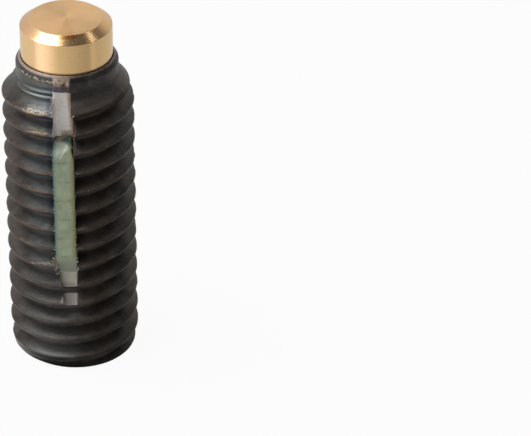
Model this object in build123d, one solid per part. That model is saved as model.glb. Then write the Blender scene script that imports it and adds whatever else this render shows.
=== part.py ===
from build123d import *
from math import atan2, ceil, cos, degrees, radians, tan
import os

# A pressure screw: a blackened steel grub screw with a hexagon socket in its drive end, a brass
# pressing tip held at the other end by a crimped rim, and a plastic locking strip pressed into a
# groove milled along the thread. Sizes are in millimetres. The screw stands on its drive end, with
# the origin at the centre of that end, +Z towards the tip, and the groove facing -Y.

# threaded body, with its metric thread
body_length = 15.26
thread_diameter = 5.97
thread_pitch = 1.0
flank_half_angle = 30.0
crest_flat_share = 0.125
thread_depth_share = 0.6134
crest_angle = 1.7
crest_height = 0.927
thread_run_in = 0.93
drive_chamfer_width = 0.15
drive_chamfer_height = 0.70

# turned end: the cone that leads the thread in, the neck and the crimped rim
lead_cone_height = 0.60
neck_relief = 0.065
neck_height = 0.74
crimp_height = 0.26
rim_lip_width = 0.045

# hexagon socket, with its drilled floor and countersunk mouth
socket_across_flats = 3.0
socket_depth = 3.5
socket_floor_angle = 120.0
socket_mouth_angle = 120.0
socket_mouth_allowance = 0.05

# brass tip in its blind bore
bore_wall = 0.290
tip_clearance = 0.015
tip_projection = 1.79
tip_seat_depth = 2.50
face_chamfer_width = 0.427
face_chamfer_height = 0.315
seat_chamfer = 0.20

# groove milled from the rim with a disc cutter, and the locking strip in it
groove_width = 0.905
groove_floor_wall = 0.180
groove_corner_radius = 0.16
groove_length = 9.7
cutter_radius = 5.0
strip_clearance = 0.008
strip_projection = 0.085
strip_setback = 2.99
strip_upper_slope = 0.63
strip_lower_slope = 1.20
strip_run_on = 0.55

crest_radius = thread_diameter / 2
thread_depth = thread_depth_share * thread_pitch
root_radius = crest_radius - thread_depth
crest_flat = crest_flat_share * thread_pitch
flank_slope = tan(radians(flank_half_angle))
neck_radius = root_radius - neck_relief
bore_radius = root_radius - bore_wall
bore_floor = body_length - tip_seat_depth
groove_floor = bore_radius + groove_floor_wall
groove_end = body_length - groove_length


def turned(points):
    """A solid of revolution about Z, from a closed outline of (radius, height) points."""
    with BuildPart() as solid:
        with BuildSketch(Plane.XZ):
            with BuildLine():
                Polyline(*points, close=True)
            make_face()
        revolve(axis=Axis.Z)
    return solid.part


def body_blank():
    """The turned blank: chamfered drive end, thread cylinder, lead cone, neck and crimped rim."""
    neck_top = body_length - crimp_height
    neck_bottom = neck_top - neck_height
    return turned([
        (0, 0),
        (crest_radius - drive_chamfer_width, 0),
        (crest_radius, drive_chamfer_height),
        (crest_radius, neck_bottom - lead_cone_height),
        (neck_radius, neck_bottom),
        (neck_radius, neck_top),
        (bore_radius + rim_lip_width, body_length),
        (0, body_length),
    ])


def channel_turn(height, run_in=0.0):
    """One turn of the channel between two crests, with its middle at height where it starts.

    The start lies further out by run_in, and the turn closes in to full depth at its end.
    """
    overrun = crest_flat / (4 * flank_slope)
    outer_half = (thread_pitch - crest_flat) / 2 + overrun * flank_slope
    root_half = (thread_pitch - crest_flat) / 2 - thread_depth * flank_slope
    corners = [
        (root_radius, height - root_half),
        (crest_radius + overrun, height - outer_half),
        (crest_radius + overrun, height + outer_half),
        (root_radius, height + root_half),
    ]
    slant = -degrees(atan2(run_in, thread_pitch))
    slant_pitch = thread_pitch / cos(radians(slant))
    edges = [
        Edge.make_helix(slant_pitch, thread_pitch, radius + run_in, (0, 0, z), angle=slant)
        for radius, z in corners
    ]
    walls = [Face.make_surface_from_curves(edges[i - 1], edges[i]) for i in range(len(edges))]
    ends = [Face(Wire.make_polygon([edge @ t for edge in edges])) for t in (0, 1)]
    return Solid(Shell(walls + ends)).rotate(Axis.Z, crest_angle)


def cut_thread(body):
    """Cut the channel turn by turn, running in at the drive end and ending above the lead cone."""
    first = crest_height % thread_pitch - 1.5 * thread_pitch
    neck_bottom = body_length - crimp_height - neck_height
    turns = ceil((neck_bottom - first) / thread_pitch)
    body -= channel_turn(first, thread_run_in)
    for turn in range(1, turns):
        body -= channel_turn(first + turn * thread_pitch)
    return body


def socket_space():
    """The hexagon socket: a countersunk mouth, six flats and the cone of the drilled hole."""
    flat_radius = socket_across_flats / 2
    corner_radius = flat_radius / cos(radians(30)) + socket_mouth_allowance
    mouth_depth = (corner_radius - flat_radius) / tan(radians(socket_mouth_angle / 2))
    floor_depth = flat_radius / tan(radians(socket_floor_angle / 2))
    hexagon = extrude(RegularPolygon(flat_radius, 6, major_radius=False), socket_depth)
    mouth = turned([(0, 0), (corner_radius, 0), (flat_radius, mouth_depth), (0, mouth_depth)])
    drilled_floor = turned([
        (0, socket_depth),
        (flat_radius, socket_depth),
        (0, socket_depth + floor_depth),
    ])
    return hexagon + mouth + drilled_floor


def groove_space(clearance):
    """What the disc cutter clears: a flat floor with round corners, run out along the disc."""
    width = groove_width - 2 * clearance
    reach = cutter_radius - clearance
    corner = groove_corner_radius - clearance
    disc = Cylinder(reach, width, rotation=(0, 90, 0))
    disc = fillet(disc.edges().filter_by(GeomType.CIRCLE), corner)
    slot = Box(width, reach, groove_length, align=(Align.CENTER, Align.MIN, Align.MIN))
    slot = fillet(slot.edges().filter_by(Axis.Z).sort_by(Axis.Y)[-2:], corner)
    return Pos(0, -groove_floor - cutter_radius, groove_end) * (disc + slot)


def threaded_body():
    """The steel body: the blank with its thread, socket, tip bore and groove cut out of it."""
    tip_bore = turned([
        (0, bore_floor),
        (bore_radius, bore_floor),
        (bore_radius, body_length),
        (0, body_length),
    ])
    return cut_thread(body_blank()) - socket_space() - tip_bore - groove_space(clearance=0)


def pressure_tip():
    """The brass plug: a chamfered seat end in the bore and a chamfered pressing face."""
    radius = bore_radius - tip_clearance
    face = body_length + tip_projection
    return turned([
        (0, bore_floor),
        (radius - seat_chamfer, bore_floor),
        (radius, bore_floor + seat_chamfer),
        (radius, face - face_chamfer_height),
        (radius - face_chamfer_width, face),
        (0, face),
    ])


def locking_strip():
    """The plastic strip: sloped at both ends, filling the groove and standing proud of the crests."""
    outside = crest_radius + strip_projection
    upper_foot = body_length - strip_setback
    lower_foot = groove_end - strip_run_on
    with BuildPart() as blank:
        with BuildSketch(Plane.YZ):
            with BuildLine():
                Polyline(
                    (-groove_floor, lower_foot),
                    (-outside, lower_foot + strip_lower_slope),
                    (-outside, upper_foot - strip_upper_slope),
                    (-groove_floor, upper_foot),
                    close=True,
                )
            make_face()
        extrude(amount=groove_width / 2, both=True)
    return blank.part & groove_space(strip_clearance)


os.makedirs("parts", exist_ok=True)
export_step(threaded_body(), "parts/threaded_body.step")
export_step(pressure_tip(), "parts/pressure_tip.step")
export_step(locking_strip(), "parts/locking_strip.step")
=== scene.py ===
import math
import bmesh
import bpy
from mathutils import Matrix, Quaternion, Vector, noise


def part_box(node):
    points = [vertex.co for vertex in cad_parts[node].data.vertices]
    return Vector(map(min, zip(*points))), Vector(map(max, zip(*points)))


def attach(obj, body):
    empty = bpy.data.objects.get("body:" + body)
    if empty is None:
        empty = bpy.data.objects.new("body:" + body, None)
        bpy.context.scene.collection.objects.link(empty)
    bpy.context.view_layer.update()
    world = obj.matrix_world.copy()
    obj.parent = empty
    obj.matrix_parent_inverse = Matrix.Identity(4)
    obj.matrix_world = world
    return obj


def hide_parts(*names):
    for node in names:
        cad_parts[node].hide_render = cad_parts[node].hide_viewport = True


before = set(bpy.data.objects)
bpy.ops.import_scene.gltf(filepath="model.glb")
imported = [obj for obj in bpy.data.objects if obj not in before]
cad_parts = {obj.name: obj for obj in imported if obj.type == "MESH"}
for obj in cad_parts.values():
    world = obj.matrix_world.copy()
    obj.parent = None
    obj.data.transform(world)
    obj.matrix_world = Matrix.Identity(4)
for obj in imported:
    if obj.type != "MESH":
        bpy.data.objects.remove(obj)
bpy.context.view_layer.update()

scene = bpy.context.scene
mm = 0.001

# Where the pieces meet, read from the frame
bodyLow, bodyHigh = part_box("threaded_body")
tipLow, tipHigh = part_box("pressure_tip")
stripLow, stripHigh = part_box("locking_strip")
crestRadius = bodyHigh.x
rimHeight = bodyHigh.z
boreFloor = tipLow.z
tipRadius = tipHigh.x
faceHeight = tipHigh.z


# Small helpers for node trees

class Wire:
    # an output to write sums with: every sign adds a maths node to the tree that it belongs to
    def __init__(self, socket):
        self.socket = socket

    def __add__(self, other):
        return calc("ADD", self, other)

    def __sub__(self, other):
        return calc("SUBTRACT", self, other)

    def __rsub__(self, other):
        return calc("SUBTRACT", other, self)

    def __mul__(self, other):
        return calc("MULTIPLY", self, other)

    def __truediv__(self, other):
        return calc("DIVIDE", self, other)


def plug(socket, value):
    # an output is linked, anything else is written as the input's value
    value = getattr(value, "socket", value)
    if isinstance(value, bpy.types.NodeSocket):
        socket.id_data.links.new(value, socket)
    else:
        socket.default_value = value


def place(tree, kind, inputs=None, **settings):
    node = tree.nodes.new(kind)
    for name, value in settings.items():
        setattr(node, name, value)
    for name, value in (inputs or {}).items():
        plug(node.inputs[name], value)
    return node


def treeOf(*values):
    return next(value.socket.id_data for value in values if isinstance(value, Wire))


def calc(operation, *values, clamp=False):
    node = place(treeOf(*values), "ShaderNodeMath", dict(enumerate(values)), operation=operation,
                 use_clamp=clamp)
    return Wire(node.outputs[0])


def blendValue(factor, under, over):
    node = place(treeOf(factor, under, over), "ShaderNodeMix", {0: factor, 2: under, 3: over},
                 data_type="FLOAT")
    return Wire(node.outputs[0])


def newTree(name, kind, inputs, outputs):
    tree = bpy.data.node_groups.new(name, kind)
    for label, socketKind, value in inputs:
        socket = tree.interface.new_socket(label, in_out="INPUT", socket_type="NodeSocket" + socketKind)
        if value is not None:
            socket.default_value = value
    for label, socketKind in outputs:
        tree.interface.new_socket(label, in_out="OUTPUT", socket_type="NodeSocket" + socketKind)
    given = {socket.name: Wire(socket) for socket in tree.nodes.new("NodeGroupInput").outputs}
    return tree, given, tree.nodes.new("NodeGroupOutput").inputs


def endTree(tree, geometry, given, result):
    # every geometry tree ends with a real mesh in the material that it was given
    realized = place(tree, "GeometryNodeRealizeInstances", {"Geometry": geometry})
    painted = place(tree, "GeometryNodeSetMaterial",
                    {"Geometry": realized.outputs[0], "Material": given["Material"]})
    plug(result["Mesh"], painted.outputs[0])
    return tree


def runTree(base, tree, values, name):
    # the modifier's inputs are set by identifier, and the result becomes a plain mesh
    modifier = base.modifiers.new(tree.name, "NODES")
    modifier.node_group = tree
    for item in tree.interface.items_tree:
        if item.item_type == "SOCKET" and item.in_out == "INPUT" and item.name in values:
            modifier[item.identifier] = values[item.name]
    bpy.context.view_layer.update()
    depsgraph = bpy.context.evaluated_depsgraph_get()
    mesh = bpy.data.meshes.new_from_object(base.evaluated_get(depsgraph))
    base.modifiers.remove(modifier)
    bpy.data.objects.remove(base)
    mesh.name = name
    piece = bpy.data.objects.new(name, mesh)
    scene.collection.objects.link(piece)
    return piece


def meshObject(name, points, faces=(), edges=()):
    # points are in mm
    mesh = bpy.data.meshes.new(name)
    mesh.from_pydata([[part * mm for part in point] for point in points], edges, faces)
    mesh.update()
    piece = bpy.data.objects.new(name, mesh)
    scene.collection.objects.link(piece)
    return piece


def finishShading(piece, angle):
    # outward normals, smooth faces and hard edges where the surface turns sharply
    mesh = piece.data
    work = bmesh.new()
    work.from_mesh(mesh)
    bmesh.ops.recalc_face_normals(work, faces=work.faces)
    work.to_mesh(mesh)
    work.free()
    mesh.shade_smooth()
    mesh.set_sharp_from_angle(angle=math.radians(angle))


def skin(name, rings, angle):
    # a closed mesh over a row of rings, each with the same number of points
    count = len(rings[0])
    faces = []
    for i in range(len(rings) - 1):
        for j in range(count):
            a, b = i * count + j, i * count + (j + 1) % count
            faces.append((a, b, b + count, a + count))
    last = (len(rings) - 1) * count
    faces += [tuple(range(count)), tuple(range(last, last + count))]
    piece = meshObject(name, [point for ring in rings for point in ring], faces)
    finishShading(piece, angle)
    return piece


# The turned pieces: a profile of (radius, height) rows is spun into a closed grid. Rows marked
# as thread climb one pitch in a turn and take their radius from the thread's rule.

plainRow, threadRow, hexRow, mouthRow = 0, 1, 2, 3


def rowPoints(rows):
    # a profile polyline with one vertex for each row and a mark for how the row is spun
    base = meshObject("profile", [(radius, 0, height) for radius, height, mark in rows],
                      edges=[(i, i + 1) for i in range(len(rows) - 1)])
    marks = base.data.attributes.new("rowKind", "FLOAT", "POINT")
    for i, (radius, height, mark) in enumerate(rows):
        marks.data[i].value = mark
    return base


spinSettings = {
    "rowMatch": 0.1,
    # the roughness all over, the blows that leave nicks, and how near the crest they are felt
    "grit": {"Scale": 2500.0, "Detail": 3.0},
    "blows": {"Scale": 900.0, "Detail": 2.0},
    "blowFrom": 0.58,
    "blowGain": 8,
    "crestShare": 7,
    "mergeDistance": 0.0000015,
}


def buildSpinTree(s):
    sizes = (("Pitch", 0.001), ("Crest Radius", 0.003), ("Root Radius", 0.0024),
             ("Crest Flat", 0.0001), ("Flank Rise", 1.732), ("Rounding", 0.0001),
             ("Crest Angle", 0.0), ("Crest Height", 0.0), ("Run In", 0.0), ("Lower End", 0.0),
             ("Upper End", 0.01), ("Upper Radius", 0.002), ("Upper Slope", 0.6),
             ("Lower Radius", 0.002), ("Lower Slope", 1.0), ("Mouth Radius", 0.002),
             ("Mouth Slope", 0.577), ("Roughening", 0.0), ("Nick Depth", 0.0))
    tree, given, result = newTree("spinProfile", "GeometryNodeTree", [
        ("Profile", "Geometry", None), ("Segments", "Int", 96),
        *((name, "Float", value) for name, value in sizes),
        ("Material", "Material", None)], [("Mesh", "Geometry")])
    segments, pitch, outer = given["Segments"], given["Pitch"], given["Crest Radius"]

    size = place(tree, "GeometryNodeAttributeDomainSize", {"Geometry": given["Profile"]})
    rowCount = Wire(size.outputs["Point Count"])
    grid = place(tree, "GeometryNodeMeshGrid", {"Vertices X": segments + 1, "Vertices Y": rowCount})
    index = Wire(place(tree, "GeometryNodeInputIndex").outputs[0])
    column = calc("FLOOR", (index + 0.5) / rowCount)

    def sampled(kind, value):
        node = place(tree, "GeometryNodeSampleIndex", {"Geometry": given["Profile"]}, data_type=kind)
        plug(node.inputs["Value"], value)
        plug(node.inputs["Index"], index - column * rowCount)
        return Wire(node.outputs[0])

    def around(radius, height):
        return place(tree, "ShaderNodeCombineXYZ", {
            "X": radius * calc("COSINE", angle), "Y": radius * calc("SINE", angle), "Z": height})

    def noiseAt(spot, fineness):
        return Wire(place(tree, "ShaderNodeTexNoise", {"Vector": spot, **fineness}).outputs[0])

    position = place(tree, "GeometryNodeInputPosition").outputs[0]
    row = place(tree, "ShaderNodeSeparateXYZ", {"Vector": sampled("FLOAT_VECTOR", position)})
    rowRadius, rowHeight = Wire(row.outputs["X"]), Wire(row.outputs["Z"])
    kind = place(tree, "GeometryNodeInputNamedAttribute", {"Name": "rowKind"}, data_type="FLOAT")
    mark = sampled("FLOAT", kind.outputs["Attribute"])
    isThread, isMouth, isHex = (calc("COMPARE", mark, wanted, s["rowMatch"])
                                for wanted in (threadRow, mouthRow, hexRow))

    turn = column / segments
    angle = turn * math.tau
    climbed = rowHeight + turn * pitch * isThread
    held = calc("MINIMUM", calc("MAXIMUM", climbed, given["Lower End"]), given["Upper End"])
    height = held * isThread + rowHeight * (1 - isThread)

    # distance along the axis from the nearest crest, then the rounded trapezium of the thread
    crests = (height - given["Crest Height"]) / pitch - (angle - given["Crest Angle"]) / math.tau
    fromCrest = calc("ABSOLUTE", calc("FRACT", crests + 0.5) - 0.5)
    # the first turn of the channel closes in to full depth from outside the drive end
    below = crests - calc("FLOOR", crests) - 0.5
    channelHeight = height - below * pitch
    fullHeight = given["Crest Height"] - pitch * 0.5
    shift = calc("MAXIMUM", (fullHeight - channelHeight) / pitch, 0) * given["Run In"]
    flank = outer + shift + (given["Crest Flat"] * 0.5 - fromCrest * pitch) * given["Flank Rise"]
    channel = calc("SMOOTH_MAX", flank, given["Root Radius"] + shift, given["Rounding"])
    rooted = calc("SMOOTH_MIN", channel, outer, given["Rounding"])
    upper = given["Upper Radius"] + (given["Upper End"] - height) * given["Upper Slope"]
    lower = given["Lower Radius"] + (height - given["Lower End"]) * given["Lower Slope"]
    ended = calc("SMOOTH_MIN", rooted, calc("MINIMUM", upper, lower), given["Rounding"] * 0.5)
    spot = around(outer, height).outputs[0]
    threadRadius = calc("MINIMUM", ended, outer) - noiseAt(spot, s["grit"]) * given["Roughening"]
    # nicks along the crests: where a coarse noise peaks, the crest is knocked back a little
    struck = calc("MAXIMUM", noiseAt(spot, s["blows"]) - s["blowFrom"], 0) * s["blowGain"]
    nearCrest = calc("MAXIMUM", 1 - fromCrest * s["crestShare"], 0)
    threadRadius -= struck * nearCrest * given["Nick Depth"]

    # six flats: the apothem over the cosine of the angle from the nearest flat's middle
    sixth = math.tau / 6
    offFlat = calc("FRACT", angle / sixth) - 0.5
    hexRadius = rowRadius / calc("COSINE", offFlat * sixth)
    mouthHeight = (given["Mouth Radius"] - hexRadius) * given["Mouth Slope"]
    radius = blendValue(isThread, blendValue(isHex + isMouth, rowRadius, hexRadius), threadRadius)
    point = around(radius, blendValue(isMouth, height, mouthHeight))
    spun = place(tree, "GeometryNodeSetPosition",
                 {"Geometry": grid.outputs["Mesh"], "Position": point.outputs[0]})
    merged = place(tree, "GeometryNodeMergeByDistance",
                   {"Geometry": spun.outputs[0], "Distance": s["mergeDistance"]})
    return endTree(tree, merged.outputs[0], given, result)


spinTree = buildSpinTree(spinSettings)


# Blackened threaded body

bodySettings = {
    "segments": 224,
    "pitch": 1.0,
    "rootRadius": 2.3716,
    "crestFlat": 0.125,
    "flankAngle": 30.0,
    "rounding": 0.10,
    "crestAngle": 1.7,
    "crestHeight": 0.927,
    "runIn": 0.93,
    "driveChamferWidth": 0.15,
    "driveChamferHeight": 0.70,
    "leadCone": 0.60,
    "neckRadius": 2.3066,
    "neckHeight": 0.74,
    "neckFillet": 0.05,
    "crimpHeight": 0.26,
    # rows round the crimp's foot, as (inwards, up), over its lip, as (out of the lip, below the
    # rim), and down into the bore, as (outwards, below the rim)
    "crimpFoot": [(0.008, 0.0), (0.035, 0.05)],
    "crimpLip": [(0.022, 0.045), (0.004, 0.018), (-0.012, 0.004)],
    "boreMouth": [(0.012, 0.0), (0.0, 0.01), (0.0, 0.1)],
    "lipWidth": 0.045,
    "boreClearance": 0.015,
    "socketFlat": 1.5,
    "socketDepth": 3.5,
    "socketMouth": 0.05,
    "socketAngle": 30.0,
    "roughening": 0.014,
    "nickDepth": 0.06,
    # heights through one turn, closer together where the profile curves
    "turnSteps": [0, .035, .07, .11, .18, .26, .34, .40, .45, .5, .55, .60, .66, .74, .82, .89, .93,
                  .965],
}

grooveSettings = {
    "width": 0.905,
    "floor": 2.2616,
    "corner": 0.16,
    "cornerSteps": 4,
    "length": 9.7,
    "cutterRadius": 5.0,
    "cutterHeight": 1.8,
    "aboveRim": 0.5,
    "runOut": 42,
    "runOutStep": 2,
    # how far each wall stands in, as (height, distance): metal is smeared over the lower left,
    # and the cutter ran in slightly askew at the upper right
    "leftIn": [(5.6, 0.0), (4.6, 0.14), (4.2, 0.24)],
    "rightIn": [(12.6, 0.0), (14.5, 0.13)],
}


def socketCorner(s):
    return s["socketFlat"] / math.cos(math.radians(s["socketAngle"])) + s["socketMouth"]


def bodyRows(s):
    # from the bottom of the socket, out over the drive end, up the thread and down the bore
    top, floor = rimHeight / mm, boreFloor / mm
    bore = tipRadius / mm + s["boreClearance"]
    neckTop = top - s["crimpHeight"]
    neckBottom = neckTop - s["neckHeight"]
    flat, depth = s["socketFlat"], s["socketDepth"]
    rows = [(0, depth + flat * math.tan(math.radians(s["socketAngle"])), plainRow),
            (flat, depth, plainRow), (flat, depth, hexRow), (flat, depth / 2, hexRow),
            (flat, 0, mouthRow), (socketCorner(s), 0, plainRow)]
    turns = math.ceil(neckBottom / s["pitch"]) + 2
    first = s["crestHeight"] % s["pitch"] - 2 * s["pitch"]
    rows += [(0, first + (turn + step) * s["pitch"], threadRow)
             for turn in range(turns + 1) for step in s["turnSteps"]]
    neck, lip = s["neckRadius"], bore + s["lipWidth"]
    plain = [(neck, neckBottom + s["neckFillet"]), (neck, neckTop - s["neckFillet"])]
    plain += [(neck - inwards, neckTop + up) for inwards, up in s["crimpFoot"]]
    plain += [(lip + out, top - below) for out, below in s["crimpLip"]]
    plain += [(bore + out, top - below) for out, below in s["boreMouth"]]
    plain += [(bore, floor), (0, floor)]
    return rows + [(radius, height, plainRow) for radius, height in plain]


def makeBody(s, material):
    return runTree(rowPoints(bodyRows(s)), spinTree, {
        "Segments": s["segments"],
        "Pitch": s["pitch"] * mm,
        "Crest Radius": crestRadius,
        "Root Radius": s["rootRadius"] * mm,
        "Crest Flat": s["crestFlat"] * mm,
        "Flank Rise": 1 / math.tan(math.radians(s["flankAngle"])),
        "Rounding": s["rounding"] * mm,
        "Crest Angle": math.radians(s["crestAngle"]),
        "Crest Height": s["crestHeight"] * mm,
        "Lower End": bodyLow.z,
        "Upper End": rimHeight - (s["crimpHeight"] + s["neckHeight"]) * mm,
        "Upper Radius": s["neckRadius"] * mm,
        "Upper Slope": (crestRadius / mm - s["neckRadius"]) / s["leadCone"],
        "Run In": s["runIn"] * mm,
        "Lower Radius": crestRadius - s["driveChamferWidth"] * mm,
        "Lower Slope": s["driveChamferWidth"] / s["driveChamferHeight"],
        "Mouth Radius": socketCorner(s) * mm,
        "Mouth Slope": math.tan(math.radians(s["socketAngle"])),
        "Roughening": s["roughening"] * mm,
        "Nick Depth": s["nickDepth"] * mm,
        "Material": material,
    }, "threadedBody")


# The groove: the space that a disc cutter clears, swept down the thread and out along its rim

def portion(value, start, end):
    # 0 at the start and 1 at the end, and no further
    return max(0, min(1, (value - start) / (end - start)))


def standIn(z, stops):
    # linear between the stops, and constant beyond them
    total = stops[0][1]
    for (start, low), (end, high) in zip(stops, stops[1:]):
        total += (high - low) * portion(z, start, end)
    return total


def grooveCutter(s):
    half, corner, height = s["width"] / 2, s["corner"], s["cutterHeight"]
    arc = [math.radians(90 * step / s["cornerSteps"]) for step in range(s["cornerSteps"] + 1)]
    right = [(half - corner + corner * math.sin(a), corner - corner * math.cos(a)) for a in arc]
    section = [(half, height)] + right[::-1] + [(-x, h) for x, h in right] + [(-half, height)]
    top = rimHeight / mm
    end, reach = top - s["length"], s["cutterRadius"]
    # straight down past the places where the right wall bends, then round the disc
    heights = [top + s["aboveRim"]] + [z for z, distance in reversed(s["rightIn"])] + [end]
    path = [(-s["floor"], z, 0.0) for z in heights]
    for degrees in range(s["runOutStep"], s["runOut"] + 1, s["runOutStep"]):
        a = math.radians(degrees)
        path.append((-s["floor"] - reach + reach * math.cos(a), end - reach * math.sin(a), a))
    rings = []
    for y, z, a in path:
        ring = []
        for x, h in section:
            here = z + h * math.sin(a)
            x += standIn(here, s["leftIn"]) if x < 0 else -standIn(here, s["rightIn"])
            ring.append((x, y - h * math.cos(a), here))
        rings.append(ring)
    return skin("grooveCutter", rings, 40)


def buildMillTree():
    tree, given, result = newTree("millGroove", "GeometryNodeTree", [
        ("Blank", "Geometry", None), ("Cutter", "Object", None), ("Material", "Material", None)],
        [("Mesh", "Geometry")])
    cutter = place(tree, "GeometryNodeObjectInfo", {"Object": given["Cutter"]})
    cut = place(tree, "GeometryNodeMeshBoolean", operation="DIFFERENCE", solver="MANIFOLD")
    plug(cut.inputs[0], given["Blank"])
    plug(cut.inputs[1], cutter.outputs["Geometry"])
    return endTree(tree, cut.outputs["Mesh"], given, result)


millTree = buildMillTree()


# Shader helpers, and the effects that several materials share

def tone(red, green, blue):
    # screen values from 0 to 255 as a linear colour
    parts = [value / 255 for value in (red, green, blue)]
    return (*[v / 12.92 if v < 0.04 else ((v + 0.055) / 1.055) ** 2.4 for v in parts], 1)


def rise(value, low, high):
    # 0 at low and 1 at high, smooth between them; it falls where low is above high
    node = place(treeOf(value), "ShaderNodeMapRange",
                 {"Value": value, "From Min": low, "From Max": high}, interpolation_type="SMOOTHSTEP")
    return Wire(node.outputs[0])


def between(value, low, high, soft):
    return rise(value, low - soft, low + soft) * rise(value, high + soft, high - soft)


def product(first, *others):
    for value in others:
        first = first * value
    return first


def blendColour(factor, under, over, mode="MIX"):
    node = place(treeOf(factor), "ShaderNodeMix", data_type="RGBA", blend_type=mode)
    for index, value in ((0, factor), (6, under), (7, over)):
        plug(node.inputs[index], value)
    return Wire(node.outputs[2])


def standInNodes(height, stops):
    total = stops[0][1]
    for (start, low), (end, high) in zip(stops, stops[1:]):
        step = place(treeOf(height), "ShaderNodeMapRange", {
            "Value": height, "From Min": start, "From Max": end, "To Min": 0.0, "To Max": high - low})
        total = Wire(step.outputs[0]) + total
    return total


def buildThreadPlace():
    # where a point of the screw lies, in mm and degrees, and how far it is from the nearest crest
    tree, given, result = newTree("threadPlace", "ShaderNodeTree", [
        ("Position", "Vector", None), ("Pitch", "Float", 1.0), ("Crest Angle", "Float", 0.0),
        ("Crest Height", "Float", 0.0)],
        [(name, "Float") for name in
         ("Across", "Outward", "Height", "Radius", "Bearing", "Side", "From Crest")])
    inMm = place(tree, "ShaderNodeVectorMath", {"Scale": 1 / mm, 0: given["Position"]},
                 operation="SCALE")
    parts = place(tree, "ShaderNodeSeparateXYZ", {"Vector": inMm.outputs[0]}).outputs
    across, back, height = (Wire(part) for part in parts)
    outward = back * -1
    turn = (calc("ARCTAN2", back, across) - given["Crest Angle"]) / math.tau
    crests = (height - given["Crest Height"]) / given["Pitch"] - turn
    side = calc("FRACT", crests + 0.5) - 0.5
    values = (across, outward, height, calc("SQRT", across * across + outward * outward),
              calc("DEGREES", calc("ARCTAN2", across, outward)), side, calc("ABSOLUTE", side))
    for socket, value in zip(result, values):
        plug(socket, value)
    return tree


def buildSurfaceGrain():
    # fine grain and coarse mottle, both from 0 to 1, with spots a given number of mm across
    tree, given, result = newTree("surfaceGrain", "ShaderNodeTree", [
        ("Position", "Vector", None), ("Stretch", "Vector", None), ("Fine Size", "Float", 0.1),
        ("Coarse Size", "Float", 0.6)], [("Fine", "Float"), ("Coarse", "Float")])
    pulled = place(tree, "ShaderNodeVectorMath", {0: given["Position"], 1: given["Stretch"]},
                   operation="MULTIPLY").outputs[0]
    for label, detail, slice4d in (("Fine", 4.0, 0.0), ("Coarse", 2.0, 7.3)):
        spots = place(tree, "ShaderNodeTexNoise", {
            "Vector": pulled, "Scale": calc("DIVIDE", 1 / mm, given[label + " Size"]),
            "Detail": detail, "W": slice4d}, noise_dimensions="4D")
        plug(result[label], rise(Wire(spots.outputs[0]), 0.3, 0.7))
    return tree


def buildEdgeWear():
    # a mask broken up by a noise: whole where the mask is strong, specks where it is weak
    tree, given, result = newTree("edgeWear", "ShaderNodeTree", [
        ("Mask", "Float", 0.0), ("Break", "Float", 0.5), ("Amount", "Float", 0.5),
        ("Softness", "Float", 0.2)], [("Worn", "Float")])
    broken = given["Mask"] - given["Break"] * given["Amount"]
    plug(result["Worn"], calc("DIVIDE", broken, given["Softness"], clamp=True))
    return tree


threadPlace = buildThreadPlace()
surfaceGrain = buildSurfaceGrain()
edgeWear = buildEdgeWear()


def newMaterial(name):
    material = bpy.data.materials.new(name)
    material.use_nodes = True
    tree = material.node_tree
    position = place(tree, "ShaderNodeTexCoord").outputs["Object"]
    return material, tree.nodes["Principled BSDF"].inputs, Wire(position)


def useGroup(group, inputs):
    outputs = place(treeOf(*inputs.values()), "ShaderNodeGroup", inputs, node_tree=group).outputs
    return {socket.name: Wire(socket) for socket in outputs}


def threadSpot(position, s):
    return useGroup(threadPlace, {"Position": position, "Pitch": s["pitch"],
                                  "Crest Height": s["crestHeight"],
                                  "Crest Angle": math.radians(s["crestAngle"])})


def grainOf(position, fine, coarse, stretch=(1, 1, 1)):
    grain = useGroup(surfaceGrain, {"Position": position, "Fine Size": fine, "Coarse Size": coarse,
                                    "Stretch": stretch})
    return grain["Fine"], grain["Coarse"]


def wearOf(mask, spots, amount, softness):
    return useGroup(edgeWear, {"Mask": mask, "Break": spots, "Amount": amount,
                               "Softness": softness})["Worn"]


def bumpOf(height, distance):
    node = place(treeOf(height), "ShaderNodeBump", {"Height": height, "Distance": distance * mm})
    return node.outputs[0]


def softMask(fields, limits):
    # limits are a step of two numbers, a band of two with its softness, or a step up and one down.
    # "mix" runs from one share to another with the field, and no limits take it as it is.
    masks = []
    for name, span in limits.items():
        value = fields[name]
        if span and span[0] == "mix":
            value = blendValue(value, *span[1:])
        elif len(span) == 4:
            value = rise(value, *span[:2]) * rise(value, span[3], span[2])
        elif span:
            value = (rise if len(span) == 2 else between)(value, *span)
        masks.append(value)
    return product(*masks)


def layer(shade, share=1.0, broken=None, mode="MIX", **limits):
    # one coat of colour: how much of it there is, the noise that breaks it up and where it lies
    return shade, share, broken, mode, limits


def paintLayers(colour, shades, fields, layers):
    for shade, share, broken, mode, limits in layers:
        mask = softMask(fields, limits)
        if broken:
            mask = wearOf(mask, fields[broken[0]], *broken[1:])
        colour = blendColour(mask * share, colour, shades[shade], mode)
    return colour


# Blackened steel, worn along its crests and milled bare in the groove

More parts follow.
